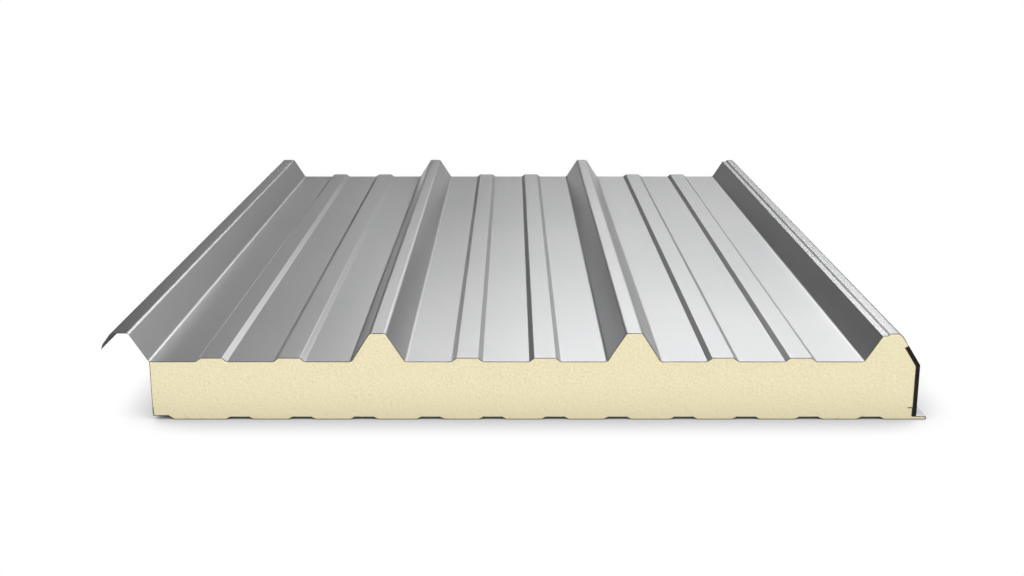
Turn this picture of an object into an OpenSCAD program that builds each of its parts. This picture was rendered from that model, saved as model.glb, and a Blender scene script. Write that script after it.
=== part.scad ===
// Trapezoidal roof sandwich panel: a ribbed steel outer sheet, a rigid foam core and a
// lightly grooved steel liner. The panels lap along their long edges: the empty overlap
// rib on the left covers the foam-filled underlap rib of the next panel, and the liner's
// lip on the right slides under the next panel's recess. The core's open side faces carry
// a soft gasket on the right and a thin sealing film on the left.
//
// The panel lies flat with its ribs up and along Y. The section is drawn in X and Z with
// X = 0 midway between the two lap ribs, and is then moved so that the origin is the
// middle of the underside.

/* [Panel] */
// Cover width, between the middles of the two lap ribs
cover_w = 1000; // [880:10:1240]
// Length of the panel
panel_len = 1370; // [500:10:6000]
// Thickness of the panel in its flat pans
panel_t = 80; // [50:1:150]

/* [Ribs] */
// Number of ribs, with both lap ribs
rib_count = 4; // [3:1:4]
// Height of a rib above the pan
rib_h = 38.5; // [32:0.5:48]
// Width of a rib's crest
rib_top_w = 21; // [18:0.5:26]
// Width of a rib where it meets the pan
rib_base_w = 70; // [60:1:84]

/* [Stiffening swages] */
// Number of shallow swages in each pan
swage_count = 2; // [0:1:3]
// Height of a swage
swage_h = 5; // [2:0.5:6]
// Width of a swage's top
swage_top_w = 28; // [16:0.5:30]
// Width of a swage where it meets the pan
swage_base_w = 41; // [38:1:50]
// Inside radius of a swage's bends
swage_bend_r = 1; // [0.5:0.25:2]

/* [Steel sheets] */
// Thickness of the outer sheet
outer_t = 0.5; // [0.4:0.05:0.8]
// Thickness of the liner
inner_t = 0.5; // [0.4:0.05:0.7]
// Inside radius of the bends of the outer sheet's ribs and laps
outer_bend_r = 5; // [2:0.5:6]
// Inside radius of the liner's bends
inner_bend_r = 1; // [0.5:0.25:1.25]

/* [Liner grooves] */
// Number of grooves under each pan and rib
groove_count = 4; // [1:1:4]
// Depth of a groove
groove_h = 3; // [1:0.5:4]
// Width of a groove's flat bottom
groove_top_w = 24.5; // [16:0.5:28]
// Width of a groove's mouth
groove_base_w = 35; // [34:0.5:44]
// Distance from groove to groove
groove_pitch = 82; // [64:1:84]
// How far the middle of the grooves stands to the right of the pan's middle
groove_shift = 23.5; // [10:0.5:30]

/* [Overlap side, left] */
// How much further out than a plain rib the overlap rib's crest ends
crest_extra = 2; // [0.4:0.1:3]
// Run of the free flange down to its kink
flange_run = 11.5; // [9:0.5:14]
// Drop of the free flange down to its kink
flange_drop = 15.5; // [11:0.5:17]
// Run of the flange below its kink
tip_run = 2; // [1:0.1:4]
// Drop of the flange below its kink
tip_drop = 6; // [5:0.5:9]
// Distance from the overlap rib's foot to the core's left face
core_inset = 0.2; // [0:0.1:3]

/* [Underlap side, right] */
// Clearance between the overlap rib's flange side and the underlap rib below it
lap_gap = 1.2; // [0.5:0.1:2]
// How far the underlap rib's crest lies below the other crests
nest_drop = 0.5; // [0.4:0.1:1.5]
// Depth of the capillary ledge below the underlap crest
ledge_drop = 3; // [2:0.5:6]
// Width of the capillary ledge
ledge_w = 6.4; // [5.5:0.1:8]
// Run of the riser from the ledge to the crest
riser_run = 3.7; // [3.5:0.1:6]
// Inside radius of the bends beside the ledge and the riser
ledge_bend_r = 2; // [0.5:0.25:2.5]
// Width of the bevelled shoulder at the crest's outer edge, seen from above
shoulder_run = 5; // [3:0.5:6]
// Drop of the bevelled shoulder
shoulder_drop = 3.8; // [2:0.1:4.5]
// How far the seal side stands out past a plain rib's slope
seal_out = 1.4; // [0:0.1:2]
// Depth of the outer sheet's edge below the ribs' crests
edge_drop = 13.5; // [11:0.5:15]

/* [Side seal] */
// Thickness of the soft side gasket
gasket_t = 5.4; // [3:0.2:6]
// Depth of the gasket's upper end below the ribs' crests
gasket_drop = 17.4; // [16:0.2:24]
// Depth of the gasket's corner below the pan
corner_drop = 5; // [3:0.5:9]

/* [Side film] */
// Thickness of the sealing film on the core's left side
film_t = 0.3; // [0.2:0.05:0.6]

/* [Lip and hems] */
// How far the lip stands out past the core
lip_w = 18.5; // [14:0.5:23]
// Thickness of the lip
lip_t = 4.5; // [4:0.25:7]
// How far the liner's upturned edges rise above the recess
hem_rise = 11.5; // [11:0.5:19]
// Length of the right upturned edge's hem, bent into the foam
hem_in = 6; // [4:0.5:9]
// Length of the left upturned edge's hem, folded flat against it
hem_fold = 8; // [4:0.5:9]
// Clearance above the lip in the next panel's recess
recess_play = 0.5; // [0.2:0.1:1.5]
// Clearance in front of the lip in the next panel's recess
recess_gap = 2.8; // [2:0.2:6]
// Run of the recess's sloping end
recess_run = 7; // [5:0.5:10]

/* [Hidden] */

// Turn of each flat segment in a rounded bend, in degrees
bend_step = 15;
// Radius of the gasket's inner bend
gasket_bend_r = 0.5;

// Ribs and the heights of the section
pan_count = rib_count - 1;
rib_pitch = cover_w / pan_count;
rib_run = (rib_base_w - rib_top_w) / 2;
rib_slope = rib_h / rib_run;
pan_z = panel_t;
top_z = panel_t + rib_h;
crest_z = top_z - nest_drop;
lap_x = cover_w / 2;
pan_gap = (rib_pitch - rib_base_w - swage_count * swage_base_w) / (swage_count + 1);

// Core side faces: the left one stands under the bend at the overlap rib's foot
core_left_x = -lap_x + rib_base_w / 2 + core_inset;
seal_z = pan_z - corner_drop;
seal_x = side_x(seal_z);
core_right_x = seal_x - gasket_t;

// Lip, and the recess that lies over the lip of the panel before
lip_end_x = core_right_x + lip_w;
recess_h = lip_t + recess_play;
recess_x = lip_end_x - cover_w + recess_gap;
recess_end_x = recess_x + recess_run;
hem_h = recess_h + hem_rise;

// ---- Paths of bent sheet ----

// Unit vector from a to b
function dir(a, b) = (b - a) / norm(b - a);

// Vector v turned to the left by an angle
function turned(v, angle) = [v.x * cos(angle) - v.y * sin(angle),
                             v.x * sin(angle) + v.y * cos(angle)];

// Vector v turned a quarter turn to the left
function left_of(v) = [-v.y, v.x];

function reversed(list) = [for (i = [len(list) - 1 : -1 : 0]) list[i]];

function without_first(list) = [for (i = [1 : len(list) - 1]) list[i]];

// Path p moved sideways by d, to the left of its direction, with mitred corners
function beside(p, d) = [for (i = [0 : len(p) - 1])
    let (a = max(i, 1),
         b = min(i, len(p) - 2),
         n = left_of(dir(p[a - 1], p[a])) + left_of(dir(p[b], p[b + 1])))
    p[i] + 2 * d / (n * n) * n];

// Arc of radius r that rounds the corner b between a and c
function arc(a, b, c, r) =
    let (u = dir(a, b),
         v = dir(b, c),
         side = sign(cross(u, v)),
         angle = acos(u * v),
         steps = max(1, round(angle / bend_step)),
         spoke = side * r * left_of(u),
         centre = b - r * tan(angle / 2) * u + spoke)
    [for (k = [0 : steps]) centre - turned(spoke, side * angle * k / steps)];

// One face of a sheet of signed thickness w, which lies to the left of the path where w is
// positive: the path moved by d, with every bend's inside radius bend_r, which is one value or
// a list of one for each point of the path
function face(path, bend_r, w, d) =
    let (p = beside(path, d), last = len(path) - 1)
    concat([p[0]],
        [for (i = [1 : last - 1])
            let (to_left = cross(p[i] - p[i - 1], p[i + 1] - p[i]) > 0,
                 inside = is_list(bend_r) ? bend_r[i] : bend_r,
                 r = to_left ? inside + max(w, 0) - d : inside - min(w, 0) + d)
            each arc(p[i - 1], p[i], p[i + 1], r)],
        [p[last]]);

// Section of a sheet along a path
function section(path, bend_r, w) =
    concat(face(path, bend_r, w, 0), reversed(face(path, bend_r, w, w)));

// Point at x on a path p that runs to the right all along
function point_at(p, x) = [for (i = [1 : len(p) - 1])
    if (p[i - 1].x <= x && x < p[i].x)
        p[i - 1] + (x - p[i - 1].x) / (p[i].x - p[i - 1].x) * (p[i] - p[i - 1])][0];

// The part of such a path to the right of x
function right_of(p, x) = concat([point_at(p, x)], [for (q = p) if (q.x > x) q]);

// ---- Outer sheet ----

function rib_x(i) = -lap_x + i * rib_pitch;

// X of the underlap rib's outer slope at height z
function side_x(z) = lap_x + rib_top_w / 2 + seal_out + (top_z - z) / rib_slope;

// A raised trapezoid about x: foot, crest, crest, foot
function trapezoid(x, z, base_w, top_w, h) = [
    [x - base_w / 2, z], [x - top_w / 2, z + h], [x + top_w / 2, z + h], [x + base_w / 2, z]];

// Swages of the pan to the right of rib i
function swages(i) = [for (k = [0 : 1 : swage_count - 1])
    let (first = rib_x(i) + rib_base_w / 2 + pan_gap + swage_base_w / 2)
    each trapezoid(first + k * (swage_base_w + pan_gap), pan_z,
                   swage_base_w, swage_top_w, swage_h)];

// Free flange, crest and inner slope of the overlap rib
flange_top_x = -lap_x - rib_top_w / 2 - crest_extra;
tip_x = flange_top_x - flange_run - tip_run;
overlap_path = [
    [tip_x, top_z - flange_drop - tip_drop],
    [flange_top_x - flange_run, top_z - flange_drop],
    [flange_top_x, top_z],
    [-lap_x + rib_top_w / 2, top_z],
    [-lap_x + rib_base_w / 2, pan_z]];

// Inner slope, capillary ledge, crest, shoulder and outer slope of the underlap rib
ledge_z = crest_z - ledge_drop;
foot_x = lap_x - rib_base_w / 2 + lap_gap;
ledge_x = foot_x + (ledge_z - pan_z) / rib_slope;
shoulder_z = crest_z - shoulder_drop;
underlap_path = [
    [foot_x, pan_z],
    [ledge_x, ledge_z],
    [ledge_x + ledge_w, ledge_z],
    [ledge_x + ledge_w + riser_run, crest_z],
    [side_x(shoulder_z) - shoulder_run, crest_z],
    [side_x(shoulder_z), shoulder_z],
    [side_x(top_z - edge_drop), top_z - edge_drop]];

// Outer face of the ribs and pans between the lap ribs
pan_path = [for (i = [0 : pan_count - 1]) each concat(
    i > 0 ? trapezoid(rib_x(i), pan_z, rib_base_w, rib_top_w, rib_h) : [],
    swages(i))];

outer_path = concat(overlap_path, pan_path, underlap_path);

// Inside radius of the bend at each point of the path
outer_bends = concat(
    [for (p = overlap_path) outer_bend_r],
    [for (i = [0 : pan_count - 1]) each concat(
        i > 0 ? [for (corner = [1 : 4]) outer_bend_r] : [],
        [for (p = swages(i)) swage_bend_r])],
    [for (i = [0 : len(underlap_path) - 1]) 1 <= i && i <= 3 ? ledge_bend_r : outer_bend_r]);
outer_underside = face(outer_path, outer_bends, -outer_t, -outer_t);

// ---- Liner ----

function groove_x(i, k) = rib_x(i) + rib_pitch / 2 + groove_shift
    + (k - (groove_count - 1) / 2) * groove_pitch;

// Grooves that clear the recess
grooves = [for (i = [0 : pan_count - 1], k = [0 : groove_count - 1])
    if (groove_x(i, k) - groove_base_w / 2 > recess_end_x)
        each trapezoid(groove_x(i, k), 0, groove_base_w, groove_top_w, groove_h)];

// Outer face of the liner, from the top of its left edge to the end of its right hem
liner_path = concat(
    [[core_left_x, hem_h],
     [core_left_x, recess_h],
     [recess_x, recess_h],
     [recess_end_x, 0]],
    grooves,
    [[lip_end_x, 0],
     [lip_end_x, lip_t],
     [core_right_x, lip_t],
     [core_right_x, hem_h],
     [core_right_x - hem_in, hem_h]]);

// Inside of the liner, with its left hem folded flat against the upturned edge
liner_inside = concat(
    [[core_left_x + 2 * inner_t, hem_h],
     [core_left_x + 2 * inner_t, hem_h - hem_fold],
     [core_left_x + inner_t, hem_h - hem_fold]],
    without_first(face(liner_path, inner_bend_r, inner_t, inner_t)));

// ---- Gasket, film and core ----

// Outer face of the seal, flush with the outer sheet: down the slope, then down to a height
function seal_path(bottom_z) = [
    [side_x(top_z - gasket_drop), top_z - gasket_drop],
    [seal_x, seal_z],
    [seal_x, bottom_z]];

// Face that the gasket and the core share, from the gasket's upper end to the upturned edge
seal_back = face(seal_path(hem_h), gasket_bend_r, -gasket_t, -gasket_t);

// The gasket stands on the lip, in the liner's bend
gasket_outline = concat(
    face(seal_path(lip_t), gasket_bend_r, -gasket_t, 0),
    arc([seal_x, lip_t], [core_right_x, lip_t], [core_right_x, hem_h], inner_bend_r),
    reversed(seal_back));

// The core fills the space under the outer sheet, between the film and the gasket, and
// inside the liner
film_x = core_left_x + film_t;
core_outline = concat(
    [[film_x, hem_h]],
    right_of(outer_underside, film_x),
    [beside(seal_path(hem_h), -outer_t)[0]],
    seal_back,
    [[core_right_x - hem_in, hem_h]],
    reversed(liner_inside));

// The film covers the core's left side from the upturned edge to the outer sheet
film_outline = concat(
    [[core_left_x, hem_h]],
    [for (q = right_of(outer_underside, core_left_x)) if (q.x < film_x) q],
    [point_at(outer_underside, film_x), [film_x, hem_h]]);

// ---- Sub-parts ----

x_middle = (tip_x + lip_end_x) / 2;

// Stretches a section drawn in X and Z along the panel's length
module along_panel() {
    translate([-x_middle, panel_len / 2, 0])
        rotate([90, 0, 0])
            linear_extrude(panel_len)
                children();
}

module outer_sheet() {
    color("#b9bcbe")
        along_panel()
            polygon(section(outer_path, outer_bends, -outer_t));
}

module foam_core() {
    color("#eae0b9")
        along_panel()
            polygon(core_outline);
}

module inner_sheet() {
    color("#c9cccd")
        along_panel()
            polygon(concat(face(liner_path, inner_bend_r, inner_t, 0),
                           reversed(liner_inside)));
}

module side_gasket() {
    color("#2b2b2a")
        along_panel()
            polygon(gasket_outline);
}

module side_film() {
    color("#8f9191")
        along_panel()
            polygon(film_outline);
}

outer_sheet();
foam_core();
inner_sheet();
side_gasket();
side_film();
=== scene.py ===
"""Looks of an insulated roof panel: a ribbed, coil-coated steel sheet and a grooved steel
liner bonded to a rigid foam core, with a foam gasket and a sealing film on the core's sides.
"""

import math

import bmesh
import bpy
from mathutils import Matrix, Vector, noise

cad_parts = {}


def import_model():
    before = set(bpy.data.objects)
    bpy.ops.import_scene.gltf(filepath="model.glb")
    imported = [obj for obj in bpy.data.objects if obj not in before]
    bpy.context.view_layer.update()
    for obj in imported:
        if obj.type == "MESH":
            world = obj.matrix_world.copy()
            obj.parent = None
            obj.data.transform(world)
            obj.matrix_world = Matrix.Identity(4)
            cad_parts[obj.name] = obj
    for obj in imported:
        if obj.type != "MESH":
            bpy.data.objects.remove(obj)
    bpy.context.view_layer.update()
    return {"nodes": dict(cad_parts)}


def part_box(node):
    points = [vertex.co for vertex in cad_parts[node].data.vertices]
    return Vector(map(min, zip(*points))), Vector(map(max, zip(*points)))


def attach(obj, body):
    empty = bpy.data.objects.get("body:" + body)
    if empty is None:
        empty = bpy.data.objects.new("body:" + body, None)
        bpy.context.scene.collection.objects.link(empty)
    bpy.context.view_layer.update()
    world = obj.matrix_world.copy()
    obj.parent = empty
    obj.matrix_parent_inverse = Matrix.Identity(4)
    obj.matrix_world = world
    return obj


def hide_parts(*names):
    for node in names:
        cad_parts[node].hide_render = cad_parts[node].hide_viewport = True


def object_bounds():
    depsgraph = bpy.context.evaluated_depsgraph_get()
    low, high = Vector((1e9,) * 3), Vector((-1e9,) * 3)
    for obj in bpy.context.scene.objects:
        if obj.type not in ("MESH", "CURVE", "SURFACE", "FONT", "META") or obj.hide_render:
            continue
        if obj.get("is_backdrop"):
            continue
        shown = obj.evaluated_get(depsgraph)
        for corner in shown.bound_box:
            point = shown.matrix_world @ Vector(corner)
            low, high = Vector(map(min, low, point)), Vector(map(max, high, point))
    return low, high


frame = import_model()

MM = 0.001
# Coordinates nearer than this, in metres, count as the same
SAME = 1e-6

# ---- Materials ----

# Sockets of a colour Mix node that share their names with others: factor, two colours, result
MIX_SHARE, MIX_FIRST, MIX_SECOND, MIXED = 0, 6, 7, 2
# How far a coat's roughness drifts either way
ROLLED_DRIFT = 0.008
# Height over the underside up to which painted shade darkens the foam
PAINTED_SHADE_HEIGHT = 60 * MM


def linear(code):
    """An sRGB hex value as a linear colour."""
    parts = [int(code[i:i + 2], 16) / 255 for i in (1, 3, 5)]
    return tuple(c / 12.92 if c < 0.04045 else ((c + 0.055) / 1.055) ** 2.4 for c in parts) + (1,)


def per_mm(size):
    """Texture scale at which a pattern repeats about every size millimetres."""
    return 1 / (size * MM)


def add(tree, kind, inputs, **settings):
    """Adds a node with its settings; each input is a value or another node's output."""
    made = tree.nodes.new(kind)
    for name, value in settings.items():
        setattr(made, name, value)
    for name, value in inputs.items():
        if isinstance(value, bpy.types.NodeSocket):
            tree.links.new(value, made.inputs[name])
        else:
            made.inputs[name].default_value = value
    return made


def new_material(name):
    """An empty node material: its tree, and the object coordinates in metres."""
    material = bpy.data.materials.new(name)
    material.use_nodes = True
    tree = material.node_tree
    tree.nodes.clear()
    place = add(tree, "ShaderNodeTexCoord", {}).outputs["Object"]
    return material, tree, place


def finish(tree, shader):
    """Makes the shader the surface of the tree's material."""
    add(tree, "ShaderNodeOutputMaterial", {"Surface": shader.outputs[0]})


def coated_steel(name, colour, tint, roughness, metallic):
    """Coil-coated steel: galvanised strip, painted and cured flat, then roll-formed.

    Gives broad, soft and even reflections, with a fine flake, a trace of orange peel and very
    faint lengthwise marks where the forming rolls ran.
    """
    material, tree, place = new_material(name)
    flake = add(tree, "ShaderNodeTexNoise", {"Vector": place, "Scale": per_mm(1.5), "Detail": 2.0})
    drift = add(tree, "ShaderNodeTexNoise", {"Vector": place, "Scale": per_mm(260), "Detail": 2.0})
    stretched = add(tree, "ShaderNodeMapping", {"Vector": place, "Scale": (1, 0.006, 1)})
    rolled = add(tree, "ShaderNodeTexNoise", {"Vector": stretched.outputs[0],
                                              "Scale": per_mm(12), "Detail": 3.0})
    blend = add(tree, "ShaderNodeMath", {0: flake.outputs["Fac"], 1: drift.outputs["Fac"]},
                operation="ADD")
    share = add(tree, "ShaderNodeMapRange", {"Value": blend.outputs[0], "From Min": 0.7,
                                             "From Max": 1.3})
    paint = add(tree, "ShaderNodeMix",
                {MIX_SHARE: share.outputs[0], MIX_FIRST: linear(colour),
                 MIX_SECOND: linear(tint)}, data_type="RGBA")
    gloss = add(tree, "ShaderNodeMapRange", {"Value": rolled.outputs["Fac"], "From Min": 0.3,
                                             "From Max": 0.7,
                                             "To Min": roughness - ROLLED_DRIFT,
                                             "To Max": roughness + ROLLED_DRIFT})
    peel = add(tree, "ShaderNodeTexNoise", {"Vector": place, "Scale": per_mm(2.2), "Detail": 1.0})
    bump = add(tree, "ShaderNodeBump", {"Height": peel.outputs["Fac"], "Strength": 0.25,
                                        "Distance": 0.005 * MM})
    shader = add(tree, "ShaderNodeBsdfPrincipled",
                 {"Base Color": paint.outputs[MIXED], "Roughness": gloss.outputs[0],
                  "Metallic": metallic, "Normal": bump.outputs[0]})
    finish(tree, shader)
    return material


def sawn_steel():
    """Sawn steel edge: bare steel with a burr, smeared with foam dust and adhesive.

    Gives a thin dark olive line round the foam.
    """
    material, tree, place = new_material("sawn_steel_edge")
    burr = add(tree, "ShaderNodeTexNoise", {"Vector": place, "Scale": per_mm(0.8), "Detail": 3.0})
    tone = add(tree, "ShaderNodeMix",
               {MIX_SHARE: burr.outputs["Fac"], MIX_FIRST: linear("#33322b"),
                MIX_SECOND: linear("#4a4840")}, data_type="RGBA")
    bump = add(tree, "ShaderNodeBump", {"Height": burr.outputs["Fac"], "Strength": 0.6,
                                        "Distance": 0.1 * MM})
    shader = add(tree, "ShaderNodeBsdfPrincipled",
                 {"Base Color": tone.outputs[MIXED], "Roughness": 0.6, "Metallic": 0.3,
                  "Normal": bump.outputs[0]})
    finish(tree, shader)
    return material


def back_coat():
    """Epoxy primer on the sheet's underside: thin, matt and dark grey."""
    material, tree, place = new_material("epoxy_back_coat")
    streak = add(tree, "ShaderNodeTexNoise", {"Vector": place, "Scale": per_mm(9), "Detail": 4.0})
    tone = add(tree, "ShaderNodeMix",
               {MIX_SHARE: streak.outputs["Fac"], MIX_FIRST: linear("#505255"),
                MIX_SECOND: linear("#5c5e61")}, data_type="RGBA")
    bump = add(tree, "ShaderNodeBump", {"Height": streak.outputs["Fac"], "Strength": 0.2,
                                        "Distance": 0.02 * MM})
    shader = add(tree, "ShaderNodeBsdfPrincipled",
                 {"Base Color": tone.outputs[MIXED], "Roughness": 0.6, "Normal": bump.outputs[0]})
    finish(tree, shader)
    return material


def rigid_foam():
    """Rigid polyisocyanurate foam, sawn across: matt cream, speckled by cells cut open, the darker
    specks partly painted shade in the open cells.

    Real cells are about 0.3 mm wide; they are drawn at about 1.5 mm so that they show. The foam
    is a little darker towards its underside: painted shade, where the floor shades the lower end.
    """
    material, tree, place = new_material("rigid_foam")
    # Darker specks at the cells: part the foam's own uneven tone, part painted shade inside the
    # open cells
    cells = add(tree, "ShaderNodeTexVoronoi", {"Vector": place, "Scale": per_mm(1.5)})
    grain = add(tree, "ShaderNodeTexNoise", {"Vector": place, "Scale": per_mm(3.2), "Detail": 3.0})
    cloud = add(tree, "ShaderNodeTexNoise", {"Vector": place, "Scale": per_mm(45), "Detail": 3.0})
    speck = add(tree, "ShaderNodeMapRange", {"Value": cells.outputs["Distance"], "From Min": 0.1,
                                             "From Max": 0.5})
    patch = add(tree, "ShaderNodeMapRange", {"Value": grain.outputs["Fac"], "From Min": 0.3,
                                             "From Max": 0.6})
    share = add(tree, "ShaderNodeMath", {0: speck.outputs[0], 1: patch.outputs[0]},
                operation="MULTIPLY")
    tone = add(tree, "ShaderNodeMix",
               {MIX_SHARE: share.outputs[0], MIX_FIRST: linear("#dad1ae"),
                MIX_SECOND: linear("#f6ecc9")}, data_type="RGBA")
    aged = add(tree, "ShaderNodeMix",
               {MIX_SHARE: cloud.outputs["Fac"], MIX_FIRST: tone.outputs[MIXED],
                MIX_SECOND: linear("#efe5c0")}, data_type="RGBA")
    # Painted shade: the foam's colour darkens towards its underside, as the floor would shade it
    height = add(tree, "ShaderNodeSeparateXYZ", {"Vector": place}).outputs["Z"]
    depth = add(tree, "ShaderNodeMapRange", {"Value": height, "From Max": PAINTED_SHADE_HEIGHT,
                                             "To Min": 1.0, "To Max": 0.0})
    painted_shade = add(tree, "ShaderNodeMath", {0: depth.outputs[0], 1: 2.0}, operation="POWER")
    floor_shaded_tone = add(tree, "ShaderNodeMix",
                {MIX_SHARE: painted_shade.outputs[0], MIX_FIRST: aged.outputs[MIXED],
                 MIX_SECOND: linear("#d9d0ae")}, data_type="RGBA")
    bump = add(tree, "ShaderNodeBump", {"Height": share.outputs[0], "Strength": 0.5,
                                        "Distance": 0.25 * MM})
    shader = add(tree, "ShaderNodeBsdfPrincipled",
                 {"Base Color": floor_shaded_tone.outputs[MIXED], "Roughness": 0.95, "Specular IOR Level": 0.15,
                  "Normal": bump.outputs[0]})
    finish(tree, shader)
    return material


def bond_line():
    """Adhesive and crushed foam along the sheets, browned by the saw: a thin dark rim."""
    material, tree, place = new_material("bond_line")
    smear = add(tree, "ShaderNodeTexNoise", {"Vector": place, "Scale": per_mm(4), "Detail": 3.0})
    tone = add(tree, "ShaderNodeMix",
               {MIX_SHARE: smear.outputs["Fac"], MIX_FIRST: linear("#5f593f"),
                MIX_SECOND: linear("#7d7756")}, data_type="RGBA")
    bump = add(tree, "ShaderNodeBump", {"Height": smear.outputs["Fac"], "Strength": 0.5,
                                        "Distance": 0.2 * MM})
    shader = add(tree, "ShaderNodeBsdfPrincipled",
                 {"Base Color": tone.outputs[MIXED], "Roughness": 0.8, "Normal": bump.outputs[0]})
    finish(tree, shader)
    return material


def gasket_foam():
    """Soft closed-cell gasket foam, black: matt, with a slightly pitted skin."""
    material, tree, place = new_material("gasket_foam")
    pits = add(tree, "ShaderNodeTexVoronoi", {"Vector": place, "Scale": per_mm(1.0)})
    tone = add(tree, "ShaderNodeMix",
               {MIX_SHARE: pits.outputs["Distance"], MIX_FIRST: linear("#0f0d0b"),
                MIX_SECOND: linear("#262320")}, data_type="RGBA")
    bump = add(tree, "ShaderNodeBump", {"Height": pits.outputs["Distance"], "Strength": 0.6,
                                        "Distance": 0.3 * MM})
    shader = add(tree, "ShaderNodeBsdfPrincipled",
                 {"Base Color": tone.outputs[MIXED], "Roughness": 0.85, "Specular IOR Level": 0.2,
                  "Normal": bump.outputs[0]})
    finish(tree, shader)
    return material


def sealing_film():
    """Thin brownish grey barrier film, glued to the foam: half matt, with small wrinkles."""
    material, tree, place = new_material("sealing_film")
    print_through = add(tree, "ShaderNodeTexNoise", {"Vector": place, "Scale": per_mm(7),
                                                     "Detail": 4.0})
    tone = add(tree, "ShaderNodeMix",
               {MIX_SHARE: print_through.outputs["Fac"], MIX_FIRST: linear("#645e54"),
                MIX_SECOND: linear("#787165")}, data_type="RGBA")
    bump = add(tree, "ShaderNodeBump", {"Height": print_through.outputs["Fac"], "Strength": 0.5,
                                        "Distance": 0.3 * MM})
    shader = add(tree, "ShaderNodeBsdfPrincipled",
                 {"Base Color": tone.outputs[MIXED], "Roughness": 0.5, "Metallic": 0.3,
                  "Normal": bump.outputs[0]})
    finish(tree, shader)
    return material


# ---- Shapes ----

# A chord with at most this radius, and at most this turn at each end, is part of a bend; it is
# split into this many parts
BEND_RADIUS = 8 * MM
BEND_TURN = math.radians(18)
BEND_PARTS = 3
# Edges that turn by more than this stay sharp
SHARP = math.radians(30)
# How far a normal points along the panel, of 1, where a face counts as part of an end: when
# the coats are chosen, and when the sawn end is made rough
END_FACING = 0.9
END_FLAT = 0.5


def end_outline(node):
    """The outline (x, z) of a CAD node's front end, in order and counter-clockwise."""
    mesh = bmesh.new()
    mesh.from_mesh(frame["nodes"][node].data)
    bmesh.ops.remove_doubles(mesh, verts=mesh.verts, dist=SAME)
    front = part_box(node)[0].y
    ends = {f for f in mesh.faces if all(abs(v.co.y - front) < SAME for v in f.verts)}
    follows = {}
    for face in ends:
        for loop in face.loops:
            if sum(f in ends for f in loop.edge.link_faces) == 1:
                follows[loop.vert] = loop.link_loop_next.vert
    first = min(follows, key=lambda v: (v.co.x, v.co.z))
    ordered = [first]
    while follows[ordered[-1]] is not first:
        ordered.append(follows[ordered[-1]])
    outline = [Vector((v.co.x, v.co.z)) for v in ordered]
    mesh.free()
    return outline


def turn(outline, i):
    """How far the outline turns at point i, in radians, positive to the left."""
    before = outline[i] - outline[i - 1]
    after = outline[(i + 1) % len(outline)] - outline[i]
    return math.atan2(before.x * after.y - before.y * after.x, before.dot(after))


def refined(outline):
    """The outline with each short chord of a bend split along its true arc."""
    points = []
    for i, start in enumerate(outline):
        end = outline[(i + 1) % len(outline)]
        points.append(start)
        turns = (turn(outline, i), turn(outline, (i + 1) % len(outline)))
        if turns[0] * turns[1] <= 0 or max(map(abs, turns)) > BEND_TURN:
            continue
        chord = end - start
        angle = max(turns, key=abs)
        radius = chord.length / 2 / math.sin(angle / 2)
        if abs(radius) > BEND_RADIUS:
            continue
        outward = Vector((chord.y, -chord.x)).normalized()
        middle = (start + end) / 2 - outward * radius * math.cos(angle / 2)
        for k in range(1, BEND_PARTS):
            a = angle * (k / BEND_PARTS - 0.5)
            points.append(middle + radius * (outward * math.cos(a)
                                             + chord.normalized() * math.sin(a)))
    return points


def divided(outline, step):
    """The outline with points added so that no side is longer than step."""
    points = []
    for i, start in enumerate(outline):
        end = outline[(i + 1) % len(outline)]
        parts = max(1, math.ceil((end - start).length / step))
        points += [start.lerp(end, k / parts) for k in range(parts)]
    return points


def extruded(node, outline, stations):
    """A closed prism of the outline along the node's length, as a bmesh."""
    low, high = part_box(node)
    mesh = bmesh.new()
    rings = []
    for k in range(stations + 1):
        y = low.y + (high.y - low.y) * k / stations
        rings.append([mesh.verts.new((p.x, y, p.y)) for p in outline])
    for near, far in zip(rings, rings[1:]):
        for i in range(len(outline)):
            mesh.faces.new((near[i - 1], far[i - 1], far[i], near[i]))
    mesh.faces.new(rings[0])
    mesh.faces.new(reversed(rings[-1]))
    bmesh.ops.recalc_face_normals(mesh, faces=mesh.faces)
    return mesh


def piece(name, mesh, node, materials):
    """Makes the object, shades its bends smooth and lets it stand for the CAD node."""
    data = bpy.data.meshes.new(name)
    mesh.to_mesh(data)
    mesh.free()
    for material in materials:
        data.materials.append(material)
    data.shade_smooth()
    data.set_sharp_from_angle(angle=SHARP)
    made = bpy.data.objects.new(name, data)
    bpy.context.scene.collection.objects.link(made)
    weighted = made.modifiers.new("weighted_normals", "WEIGHTED_NORMAL")
    weighted.keep_sharp = True
    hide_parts(node)
    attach(made, "root")


def steel_sheet(name, node, upper, lower, edge):
    """A formed sheet, with a coat on its upper face, one on its lower face, and bare ends."""
    mesh = extruded(node, refined(end_outline(node)), 1)
    for face in mesh.faces:
        if abs(face.normal.y) > END_FACING:
            face.material_index = 1
        elif face.normal.z < 0:
            face.material_index = 2
    piece(name, mesh, node, [upper, edge, lower])


# Spacing of the cuts that divide a sawn end, how far in the first one lies, how near to a cut
# a corner counts as on it, and the width of the rim that the saw crushed
CELL = 1.6 * MM
FIRST_CELL = 0.37 * CELL
ON_CUT = 1e-7
RIM = 0.5 * MM
# The sawn surface: millimetres of depth for torn cells, open pits and saw marks, and the noise
# level above which there is a pit
TORN = 0.12
PITS = 2.2
PIT_START = 0.45
MARKS = 0.06


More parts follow.
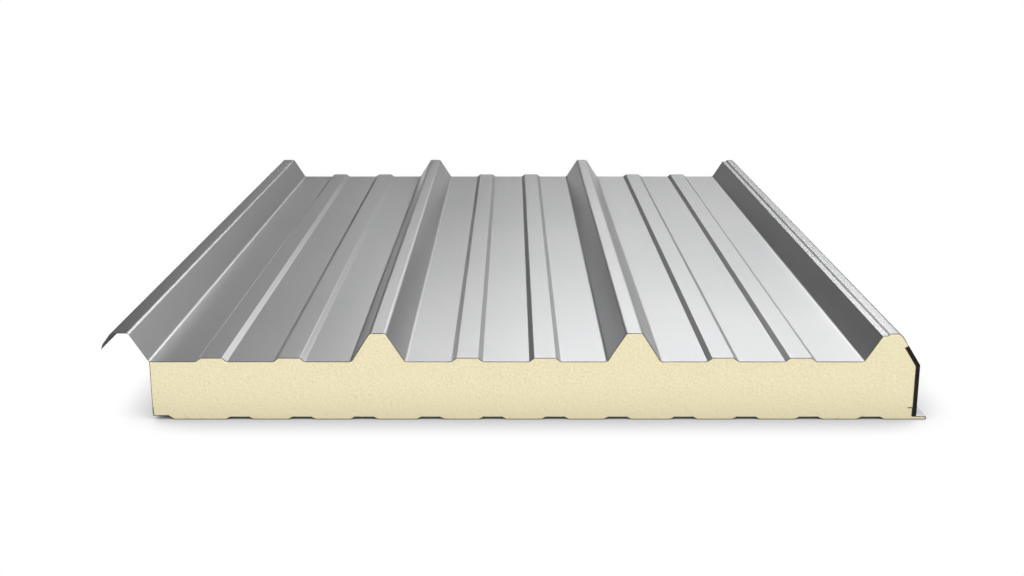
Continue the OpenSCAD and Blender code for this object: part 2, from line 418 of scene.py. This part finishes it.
def sliced(mesh, faces, axis):
    """Cuts flat faces with planes CELL apart along an axis, and returns all the slices."""
    normal = [float(i == axis) for i in range(3)]
    reach = [v.co[axis] for f in faces for v in f.verts]
    cut = min(reach) + FIRST_CELL
    done = []
    while cut < max(reach):
        part = {g for f in faces for g in (f, *f.edges, *f.verts)}
        made = bmesh.ops.bisect_plane(mesh, geom=list(part), dist=ON_CUT, plane_no=normal,
                                      plane_co=[cut * n for n in normal])
        slices = [g for g in made["geom"] if isinstance(g, bmesh.types.BMFace)]
        faces = [f for f in slices if f.calc_center_median()[axis] > cut]
        done += [f for f in slices if f.calc_center_median()[axis] <= cut]
        cut += CELL
    return done + faces


def foam_relief(point):
    """Depth of the sawn foam's surface under its plane: torn cells and saw marks."""
    torn = noise.fractal(point * per_mm(5), 0.8, 2.0, 3)
    pits = max(0.0, noise.noise(point * per_mm(4) + Vector((7, 0, 3))) - PIT_START)
    marks = noise.noise(Vector((point.x * per_mm(9) + point.z * per_mm(60), point.y, 0)))
    return (TORN * (1 + torn) + PITS * pits + MARKS * (1 + marks)) * MM


def sawn_end(mesh, y, inward):
    """Makes the end face at y rough, inside a narrow rim that the saw crushed."""
    end = next(f for f in mesh.faces if all(abs(v.co.y - y) < SAME for v in f.verts))
    corners = list(end.verts)
    rim = bmesh.ops.inset_region(mesh, faces=[end], thickness=RIM, use_even_offset=True)
    for face in rim["faces"]:
        face.material_index = 1
    grid = sliced(mesh, sliced(mesh, [end], 0), 2)
    inner = {v for f in grid for v in f.verts}
    for vert in inner:
        if all(abs(f.normal.y) > END_FLAT for f in vert.link_faces):
            vert.co.y += inward * max(0.0, foam_relief(vert.co.copy()))
    for vert in corners:
        vert.co.y += inward * RIM


def foam_block(foam, rim):
    """The core, with both ends sawn rough."""
    low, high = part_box("foam_core")
    mesh = extruded("foam_core", refined(end_outline("foam_core")), 1)
    sawn_end(mesh, low.y, 1)
    sawn_end(mesh, high.y, -1)
    piece("foam_block", mesh, "foam_core", [foam, rim])


def soft_strip(name, node, step, swell, material):
    """A soft strip whose outer face is a little uneven."""
    low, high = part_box(node)
    outline = divided(refined(end_outline(node)), step)
    mesh = extruded(node, outline, round((high.y - low.y) / step))
    mesh.normal_update()
    for vert in mesh.verts:
        if low.y + SAME < vert.co.y < high.y - SAME:
            amount = noise.noise(vert.co * per_mm(14)) * swell
            vert.co += vert.normal * amount
    piece(name, mesh, node, [material])


# ---- Setting ----


# The lens and the sensor in millimetres; the camera's place in metres from the middle of the
# panel's front upper edge; its tilt up from straight down; and how far it sees, in metres
LENS = 47.11
SENSOR = 36
CAMERA_RIGHT = -0.0057
CAMERA_BACK = 1.6617
CAMERA_UP = 0.5011
CAMERA_TILT = math.radians(75.15)
CAMERA_REACH = 200


def camera():
    """The camera in front of the panel and above it."""
    data = bpy.data.cameras.new("camera")
    data.sensor_width = SENSOR
    data.lens = LENS
    data.clip_end = CAMERA_REACH
    made = bpy.data.objects.new("camera", data)
    low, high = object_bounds()
    made.location = (CAMERA_RIGHT, low.y - CAMERA_BACK, high.z + CAMERA_UP)
    made.rotation_euler = (CAMERA_TILT, 0, 0)
    bpy.context.scene.collection.objects.link(made)
    bpy.context.scene.camera = made


SKY_REACH = 0.1
SKY_GAIN = 1.17
SKY_SAMPLES = 16
# Half the floor's width in metres, and how far it lies under the panel
FLOOR_HALF = 40
FLOOR_DROP = 0.2 * MM


def floor():
    """A wide pale floor just under the panel, with the soft shadow that daylight leaves there.

    To the camera and in reflections it glows white, less where the panel hides the sky: a spot
    that sees less than 1 / SKY_GAIN of the sky within SKY_REACH metres shows grey. To all other
    light it is a plain matt grey that bounces light back up.
    """
    material, tree, place = new_material("studio_floor")
    rays = add(tree, "ShaderNodeLightPath", {})
    seen = add(tree, "ShaderNodeMath", {0: rays.outputs["Is Camera Ray"],
                                        1: rays.outputs["Is Glossy Ray"]}, operation="MAXIMUM")
    seen = add(tree, "ShaderNodeMath", {0: seen.outputs[0],
                                        1: rays.outputs["Is Transmission Ray"]},
               operation="MAXIMUM")
    sky = add(tree, "ShaderNodeAmbientOcclusion", {"Distance": SKY_REACH}, samples=SKY_SAMPLES)
    level = add(tree, "ShaderNodeMath", {0: sky.outputs["AO"], 1: SKY_GAIN},
                operation="MULTIPLY", use_clamp=True)
    glow = add(tree, "ShaderNodeEmission", {"Strength": level.outputs[0]})
    matt = add(tree, "ShaderNodeBsdfDiffuse", {"Color": linear("#b4b4b4")})
    both = add(tree, "ShaderNodeMixShader", {0: seen.outputs[0], 1: matt.outputs[0],
                                             2: glow.outputs[0]})
    finish(tree, both)
    mesh = bmesh.new()
    bmesh.ops.create_grid(mesh, x_segments=1, y_segments=1, size=FLOOR_HALF)
    data = bpy.data.meshes.new("floor")
    mesh.to_mesh(data)
    mesh.free()
    data.materials.append(material)
    made = bpy.data.objects.new("floor", data)
    made.location = (0, 0, -FLOOR_DROP)
    bpy.context.scene.collection.objects.link(made)
    made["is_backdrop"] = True


# Name, azimuth and elevation in degrees, distance, width and height in metres, power in watts
LAMPS = (
    ("behind", 7, 30, 5, 2.8, 0.75, 40.5),
    ("behind_left", -18, 30, 5, 0.75, 0.75, 4.4),
    ("low_middle", 14, 22, 5, 2.4, 0.5, 7.2),
    ("low_right", 30, 18, 5, 1.2, 0.8, 7.5),
    ("lower_middle", 14, 10, 5, 1.6, 0.4, 1.15),
    ("lower_left", -12, 10, 5, 0.8, 0.4, 0.42),
    ("front", 180, 40, 3.2, 6.0, 2.6, 78),
)


def bearing(azimuth, elevation):
    """The way from the panel in degrees; azimuth 0 is behind it, 90 is on its right."""
    a, e = math.radians(azimuth), math.radians(elevation)
    return Vector((math.sin(a) * math.cos(e), math.cos(a) * math.cos(e), math.sin(e)))


def soft_box(name, azimuth, elevation, distance, width, height, power):
    """A soft box that faces the panel."""
    out = bearing(azimuth, elevation)
    data = bpy.data.lights.new(name, "AREA")
    data.shape = "RECTANGLE"
    data.size = width
    data.size_y = height
    data.energy = power
    made = bpy.data.objects.new(name, data)
    made.location = out * distance
    made.rotation_euler = out.to_track_quat("Z", "Y").to_euler()
    bpy.context.scene.collection.objects.link(made)


# Strength of the pale walls and of the bay; azimuth and elevation of the bay's middle in
# degrees; and the angles from it at which the bay begins to brighten and the walls begin
WALL_LIGHT = 0.7
BAY_LIGHT = 0.0
BAY = (3, 18)
BAY_INNER = math.radians(36)
BAY_OUTER = math.radians(50)


def world():
    """Pale studio walls all round, with a darker bay behind the panel for the soft boxes.

    The camera sees the walls as plain white.
    """
    made = bpy.data.worlds.new("studio")
    made.use_nodes = True
    tree = made.node_tree
    tree.nodes.clear()
    way = add(tree, "ShaderNodeTexCoord", {}).outputs["Generated"]
    nearness = add(tree, "ShaderNodeVectorMath", {0: way, 1: bearing(*BAY)},
                   operation="DOT_PRODUCT")
    light = add(tree, "ShaderNodeMapRange",
                {"Value": nearness.outputs["Value"], "From Min": math.cos(BAY_OUTER),
                 "From Max": math.cos(BAY_INNER), "To Min": WALL_LIGHT,
                 "To Max": BAY_LIGHT},
                interpolation_type="SMOOTHSTEP")
    rays = add(tree, "ShaderNodeLightPath", {})
    seen = add(tree, "ShaderNodeMath", {0: light.outputs[0], 1: rays.outputs["Is Camera Ray"]},
               operation="MAXIMUM")
    background = add(tree, "ShaderNodeBackground", {"Color": (1, 1, 1, 1),
                                                    "Strength": seen.outputs[0]})
    add(tree, "ShaderNodeOutputWorld", {"Surface": background.outputs[0]})
    bpy.context.scene.world = made


camera()
floor()
world()
for lamp in LAMPS:
    soft_box(*lamp)
bpy.context.scene.view_settings.view_transform = "Standard"
# Every lamp is sampled alike, against grain on the thin bright bends
bpy.context.scene.cycles.use_light_tree = False

top_coat = coated_steel("silver_coil_coating", "#b3b3b4", "#abacad", 0.34, 0.9)
liner_coat = coated_steel("grey_liner_coating", "#dfe1e2", "#d6d8da", 0.45, 0.2)
primer = back_coat()
steel_edge = sawn_steel()
steel_sheet("ribbed_steel_sheet", "outer_sheet", top_coat, primer, steel_edge)
steel_sheet("steel_liner", "inner_sheet", liner_coat, liner_coat, steel_edge)
foam_block(rigid_foam(), bond_line())
soft_strip("foam_gasket", "side_gasket", 6 * MM, 0.15 * MM, gasket_foam())
soft_strip("barrier_film", "side_film", 5 * MM, 0.12 * MM, sealing_film())
